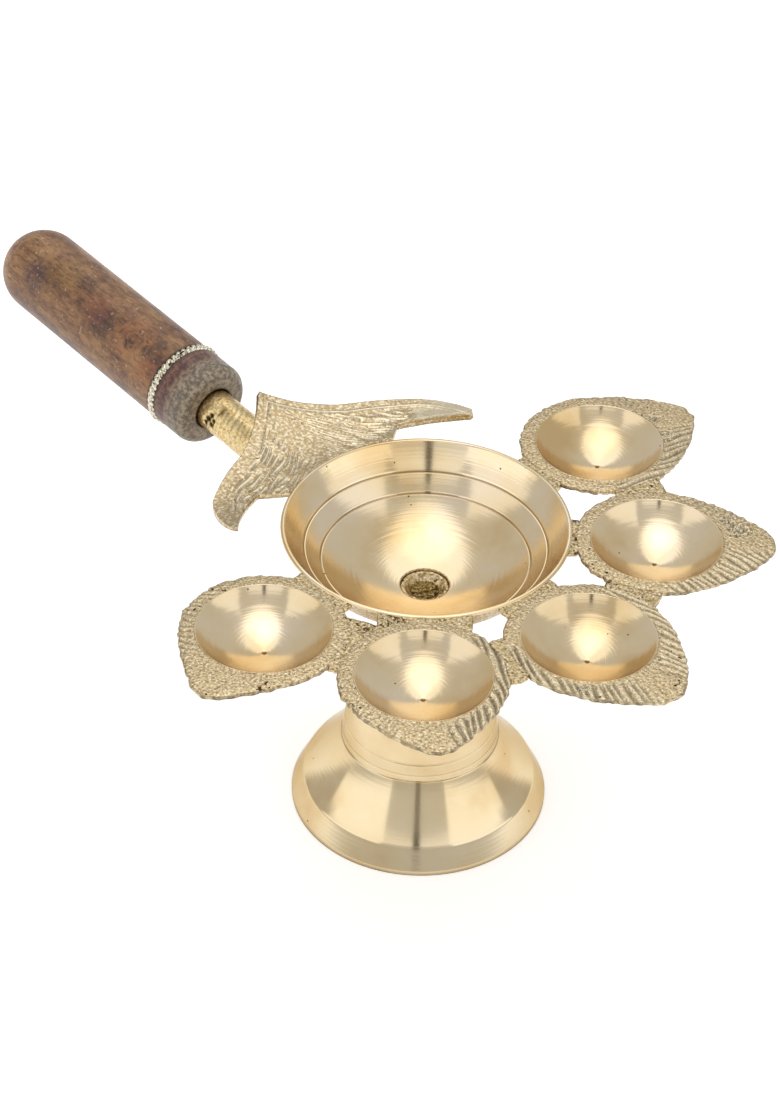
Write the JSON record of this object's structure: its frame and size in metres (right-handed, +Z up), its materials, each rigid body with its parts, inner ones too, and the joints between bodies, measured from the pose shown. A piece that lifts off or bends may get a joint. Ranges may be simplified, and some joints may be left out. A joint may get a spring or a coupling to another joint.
{
  "type": "aarti lamp",
  "caption": "Brass aarti lamp: a turned bowl ringed by leaf-shaped wick cups on a hollow bell foot, with a crest-shaped wing and a turned wooden handle.",
  "frame": {"origin": "centre of the foot's rest ring, on the lamp's upright axis", "axes": "+Z up along the axis of foot and bowl; +X out through the middle leaf, so the handle runs along -X"},
  "size_m": [0.2908, 0.1931, 0.1103],
  "materials": {
    "turned_brass": "turned and polished, with fine circular tool marks",
    "cast_brass": "sand cast, grainy, filed leaf veins",
    "braze": "lumpy, with dark pits",
    "stud_brass": "rough drilled end",
    "rod_brass": "sand cast, wavy",
    "wire_brass": "twisted wire",
    "sheesham_wood": "turned, satin",
    "lac_cement": "dark resin"
  },
  "bodies": {
    "foot": {"pedestal_foot": "turned_brass"},
    "stud": {"joint_stud": "stud_brass"},
    "head": {"main_bowl": "turned_brass", "petal_cup_1": "cast_brass", "petal_cup_2": "cast_brass", "petal_cup_3": "cast_brass", "petal_cup_4": "cast_brass", "petal_cup_5": "cast_brass", "bowl_braze_1": "braze", "bowl_braze_2": "braze", "bowl_braze_3": "braze", "bowl_braze_4": "braze", "bowl_braze_5": "braze", "leaf_braze_1": "braze", "leaf_braze_2": "braze", "leaf_braze_3": "braze", "leaf_braze_4": "braze", "crest_wing": "cast_brass", "tang_rod": "rod_brass", "tang_cement": "lac_cement", "handle_grip": "sheesham_wood", "binding_ring": "wire_brass"}
  },
  "joints": [
    {"name": "head_unscrew", "type": "hinge", "parent": "foot", "child": "stud", "pos_m": [0, 0, 0.0752], "axis": [0, 0, 1], "range_deg": [0, 900]},
    {"name": "head_rise", "type": "slide", "parent": "stud", "child": "head", "axis": [0, 0, 1], "range_m": [0, 0.00375]}
  ],
  "couplings": [
    {"joint": "head_rise", "follows": "head_unscrew", "m_per_rad": 0.00023873}
  ]
}
